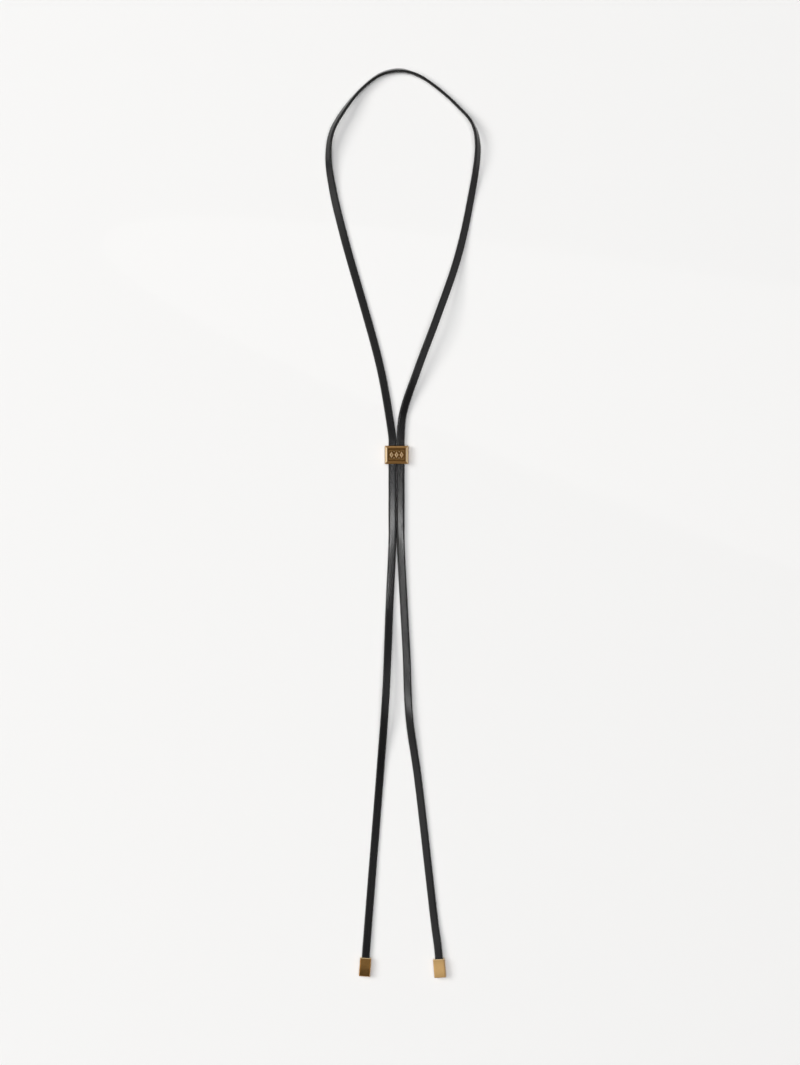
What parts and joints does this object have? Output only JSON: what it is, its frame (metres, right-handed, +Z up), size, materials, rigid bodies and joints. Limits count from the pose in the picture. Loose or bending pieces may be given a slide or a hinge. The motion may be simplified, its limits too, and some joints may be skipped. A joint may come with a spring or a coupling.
{
  "type": "cord necklace",
  "caption": "Long flat leather cord necklace of the bolo kind: a neck loop gathered by a flat metal slide, with metal tips on the cord's ends, lying flat.",
  "frame": {"origin": "middle of the slide's back, on the surface that the necklace lies on", "axes": "+Y from the slide up to the nape of the loop, +X to the right of the one who looks down on it, +Z up from the surface"},
  "size_m": [0.0943, 0.5539, 0.0111],
  "materials": {
    "black_leather": "smooth, semi-gloss, edges burnished",
    "antique_gold": "cast, polished on the rim and relief, darkened in the field",
    "satin_gold": "polished"
  },
  "bodies": {
    "necklace": {"leather_cord": "black_leather", "left_tip": "satin_gold", "right_tip": "satin_gold"},
    "slide": {"slide": "antique_gold"}
  },
  "joints": [
    {"name": "slide_travel", "type": "slide", "parent": "necklace", "child": "slide", "axis": [0, -1, 0], "range_m": [0, 0.03]}
  ]
}
